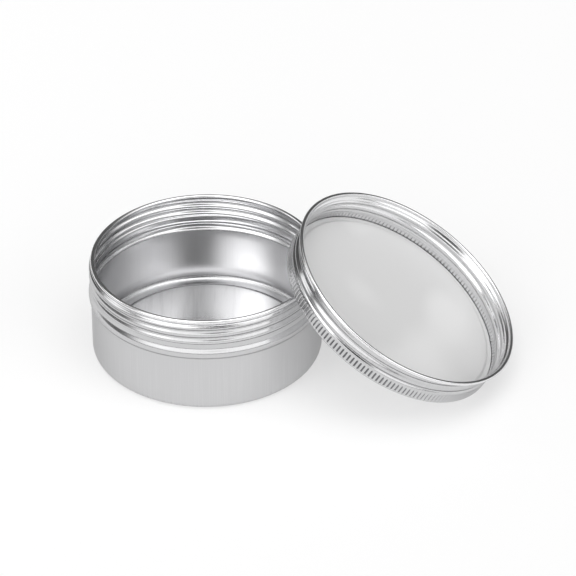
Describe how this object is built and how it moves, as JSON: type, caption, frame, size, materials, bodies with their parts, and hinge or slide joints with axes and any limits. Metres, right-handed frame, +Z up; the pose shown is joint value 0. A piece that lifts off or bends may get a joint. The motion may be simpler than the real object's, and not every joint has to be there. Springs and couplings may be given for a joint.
{
  "type": "screw-top aluminium tin",
  "caption": "Round shallow screw-top tin of drawn aluminium, shown open: a threaded pot with a stop bead, and a knurled, threaded lid with a loose foam liner that leans on the pot's rim.",
  "frame": {"origin": "on the floor, under the middle of the outline of pot and leaning lid together", "axes": "+Z up, +X from the pot towards the lid that leans on it, +Y away from the viewer of the picture"},
  "size_m": [0.142, 0.0926, 0.0526],
  "materials": {
    "drawn_aluminium": "satin",
    "foam_liner": "matte"
  },
  "bodies": {
    "pot": {"pot": "drawn_aluminium"},
    "liner": {"liner": "foam_liner"},
    "lid": {"lid": "drawn_aluminium"}
  },
  "joints": [
    {"name": "lid_lift", "type": "slide", "parent": "pot", "child": "liner", "axis": [0, 0, 1], "range_m": [0, 0.06]},
    {"name": "lid_turn", "type": "hinge", "parent": "liner", "child": "lid", "pos_m": [0.0293, -0.00377, 0.02061], "axis": [0.5125, -0.1089, 0.8517], "continuous": true}
  ]
}
